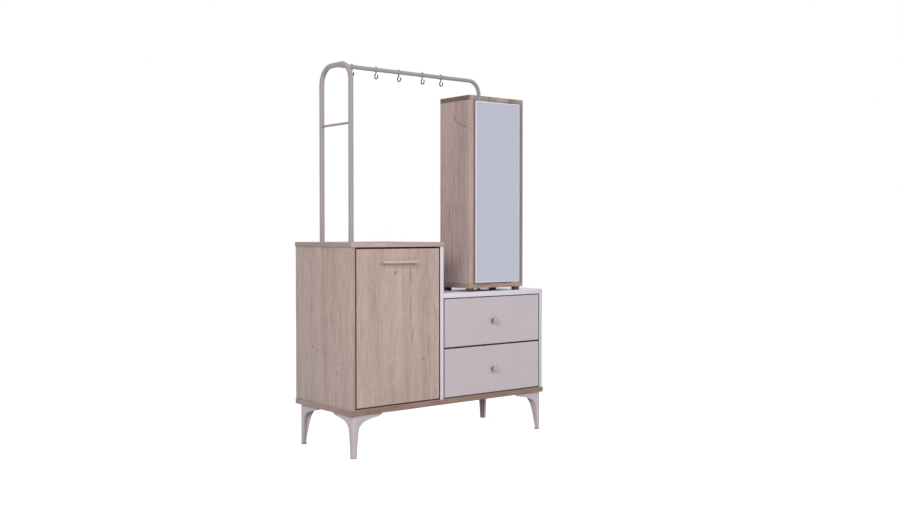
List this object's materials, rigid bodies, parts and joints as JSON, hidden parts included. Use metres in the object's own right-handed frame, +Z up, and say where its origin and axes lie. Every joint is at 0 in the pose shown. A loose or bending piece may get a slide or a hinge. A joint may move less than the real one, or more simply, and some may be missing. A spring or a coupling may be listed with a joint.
{
  "type": "dresser",
  "caption": "Hallway dresser: oak cupboard with a tilting shoe flap beside a white drawer unit, a narrow mirror tower, and a bent-tube frame with a coat rail and hooks",
  "frame": {"origin": "centre of the bounding box in plan, on the floor under the legs", "axes": "+X to the right across the front, +Y to the back, +Z up; the flap, drawers and mirror face -Y"},
  "size_m": [0.9, 0.383, 1.3757],
  "materials": {
    "oak_board": "oak-pattern melamine board with a fine vertical grain, satin",
    "white_board": "white melamine board, satin",
    "taupe_front": "pale taupe melamine board, satin",
    "back_board": "pale printed hardboard, matt",
    "inner_plastic": "pale moulded plastic",
    "handle_paint": "pale powder coat",
    "leg_plastic": "moulded, pale grey, satin",
    "tube_paint": "pale grey powder coat",
    "glide_rubber": "dark moulded glide",
    "pivot_steel": "plain zinc-plated steel",
    "mirror_face": "float-glass mirror with a polished edge",
    "hook_metal": "dark bent wire and collar"
  },
  "bodies": {
    "carcass": {"bottom_panel": "oak_board", "left_side_panel": "oak_board", "divider_panel": "white_board", "right_side_panel": "white_board", "cabinet_top": "oak_board", "drawer_unit_top": "white_board", "cabinet_back_panel": "back_board", "drawer_unit_back_panel": "back_board", "leg_front_left": "leg_plastic", "leg_front_right": "leg_plastic", "leg_rear_left": "leg_plastic", "leg_rear_right": "leg_plastic", "left_flap_pivot": "pivot_steel", "right_flap_pivot": "pivot_steel", "lower_left_runner": "inner_plastic", "lower_right_runner": "inner_plastic", "upper_left_runner": "inner_plastic", "upper_right_runner": "inner_plastic", "side_frame_tube": "tube_paint", "side_frame_rung": "tube_paint", "coat_rail_tube": "tube_paint", "tower_left_side": "oak_board", "tower_right_side": "oak_board", "tower_top": "oak_board", "tower_bottom": "oak_board", "tower_back": "back_board", "tower_shelf_lower": "oak_board", "tower_shelf_upper": "oak_board", "glide_front_left": "glide_rubber", "glide_front_right": "glide_rubber", "glide_rear_left": "glide_rubber", "glide_rear_right": "glide_rubber", "upper_pivot_plate": "pivot_steel", "lower_pivot_plate": "pivot_steel"},
    "shoe_flap": {"flap_leaf": "oak_board", "flap_handle": "handle_paint", "left_cheek": "inner_plastic", "right_cheek": "inner_plastic", "lower_shoe_tray": "inner_plastic", "upper_shoe_tray": "inner_plastic"},
    "lower_drawer": {"lower_drawer_front": "taupe_front", "lower_drawer_left": "white_board", "lower_drawer_right": "white_board", "lower_drawer_rear": "white_board", "lower_drawer_bottom": "back_board", "lower_drawer_knob": "handle_paint"},
    "upper_drawer": {"upper_drawer_front": "taupe_front", "upper_drawer_left": "white_board", "upper_drawer_right": "white_board", "upper_drawer_rear": "white_board", "upper_drawer_bottom": "back_board", "upper_drawer_knob": "handle_paint"},
    "mirror_door": {"mirror_door_leaf": "white_board", "mirror_glass": "mirror_face"},
    "coat_hook_1": {"hook_1": "hook_metal"},
    "coat_hook_2": {"hook_2": "hook_metal"},
    "coat_hook_3": {"hook_3": "hook_metal"},
    "coat_hook_4": {"hook_4": "hook_metal"},
    "coat_hook_5": {"hook_5": "hook_metal"}
  },
  "joints": [
    {"name": "flap_tilt", "type": "hinge", "parent": "carcass", "child": "shoe_flap", "pos_m": [-0.247, -0.1455, 0.27], "axis": [1, 0, 0], "range_deg": [0, 38]},
    {"name": "lower_drawer_slide", "type": "slide", "parent": "carcass", "child": "lower_drawer", "axis": [0, -1, 0], "range_m": [0, 0.25]},
    {"name": "upper_drawer_slide", "type": "slide", "parent": "carcass", "child": "upper_drawer", "axis": [0, -1, 0], "range_m": [0, 0.25]},
    {"name": "mirror_door_swing", "type": "hinge", "parent": "carcass", "child": "mirror_door", "pos_m": [0.304, -0.1645, 0.921], "axis": [0, 0, 1], "range_deg": [0, 100]},
    {"name": "hook_1_turn", "type": "hinge", "parent": "carcass", "child": "coat_hook_1", "pos_m": [-0.314, 0.0205, 1.364], "axis": [1, 0, 0], "continuous": true},
    {"name": "hook_2_turn", "type": "hinge", "parent": "carcass", "child": "coat_hook_2", "pos_m": [-0.209, 0.0205, 1.364], "axis": [1, 0, 0], "continuous": true},
    {"name": "hook_3_turn", "type": "hinge", "parent": "carcass", "child": "coat_hook_3", "pos_m": [-0.106, 0.0205, 1.364], "axis": [1, 0, 0], "continuous": true},
    {"name": "hook_4_turn", "type": "hinge", "parent": "carcass", "child": "coat_hook_4", "pos_m": [0.004, 0.0205, 1.364], "axis": [1, 0, 0], "continuous": true},
    {"name": "hook_5_turn", "type": "hinge", "parent": "carcass", "child": "coat_hook_5", "pos_m": [0.094, 0.0205, 1.364], "axis": [1, 0, 0], "continuous": true}
  ]
}
